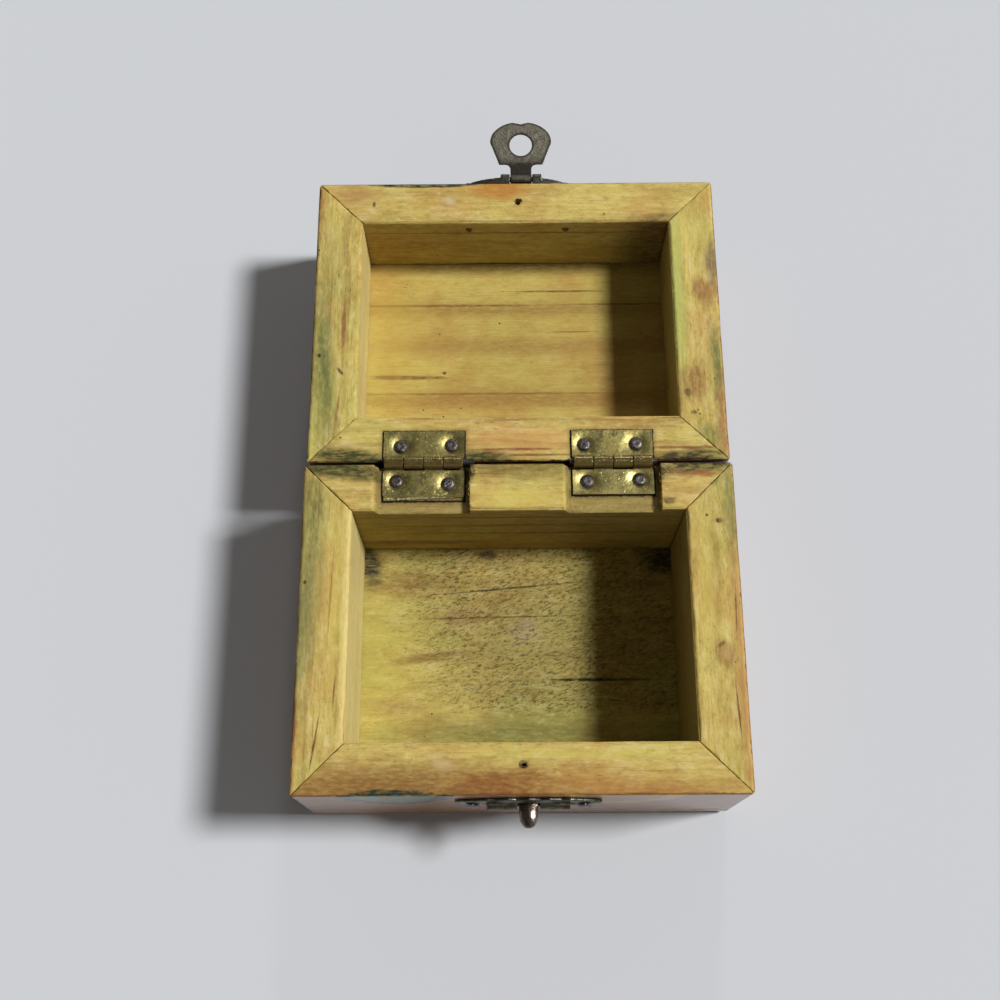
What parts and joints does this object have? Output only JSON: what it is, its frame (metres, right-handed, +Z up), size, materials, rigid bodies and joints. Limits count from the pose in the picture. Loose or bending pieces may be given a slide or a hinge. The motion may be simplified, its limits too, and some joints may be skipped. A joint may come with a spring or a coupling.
{
  "type": "hinged_trinket_box",
  "caption": "Small mitred pine trinket box lying open flat on brass butt hinges, with a pewter hasp on the lid's front and a turning duckbill catch on the base.",
  "frame": {"origin": "Middle of the base's underside, the face the box rests on.", "axes": "+X to the right as the open box is seen from its front, +Y from the base towards the hinges and the open lid, +Z up."},
  "size_m": [0.09, 0.1594, 0.0344],
  "materials": {
    "raw_pine": "raw inside and on the rims, yellowed and stained; varnished outside",
    "tarnished_brass": "dull, tarnished brown near the barrels",
    "dark_steel": "dark, scratched wire nails and pins",
    "grey_pewter": "grey stamped metal, worn bright on its high spots"
  },
  "bodies": {
    "base": {"base_floor": "raw_pine", "base_front_board": "raw_pine", "base_right_board": "raw_pine", "base_back_board": "raw_pine", "base_left_board": "raw_pine", "left_hinge_base_leaf": "tarnished_brass", "left_hinge_pin": "dark_steel", "left_hinge_base_nail_1": "dark_steel", "left_hinge_base_nail_2": "dark_steel", "right_hinge_base_leaf": "tarnished_brass", "right_hinge_pin": "dark_steel", "right_hinge_base_nail_1": "dark_steel", "right_hinge_base_nail_2": "dark_steel", "catch_plate": "grey_pewter", "catch_nail_left": "dark_steel", "catch_nail_right": "dark_steel"},
    "lid": {"lid_top": "raw_pine", "lid_front_board": "raw_pine", "lid_right_board": "raw_pine", "lid_back_board": "raw_pine", "lid_left_board": "raw_pine", "left_hinge_lid_leaf": "tarnished_brass", "left_hinge_lid_nail_1": "dark_steel", "left_hinge_lid_nail_2": "dark_steel", "right_hinge_lid_leaf": "tarnished_brass", "right_hinge_lid_nail_1": "dark_steel", "right_hinge_lid_nail_2": "dark_steel", "hasp_plate": "grey_pewter", "hasp_pin": "dark_steel", "hasp_nail_left": "dark_steel", "hasp_nail_right": "dark_steel"},
    "flap": {"hasp_flap": "grey_pewter"},
    "nose": {"catch_nose": "grey_pewter"}
  },
  "joints": [
    {"name": "lid_hinge", "type": "hinge", "parent": "base", "child": "lid", "pos_m": [0, 0.03495, 0.03305], "axis": [1, 0, 0], "range_deg": [-3, 180]},
    {"name": "flap_hinge", "type": "hinge", "parent": "lid", "child": "flap", "pos_m": [0.00135, 0.1058, 0.0305], "axis": [1, 0, 0], "range_deg": [-74, 76]},
    {"name": "nose_hinge", "type": "hinge", "parent": "base", "child": "nose", "pos_m": [0.00135, -0.0354, 0.0282], "axis": [1, 0, 0], "range_deg": [0, 45]}
  ]
}
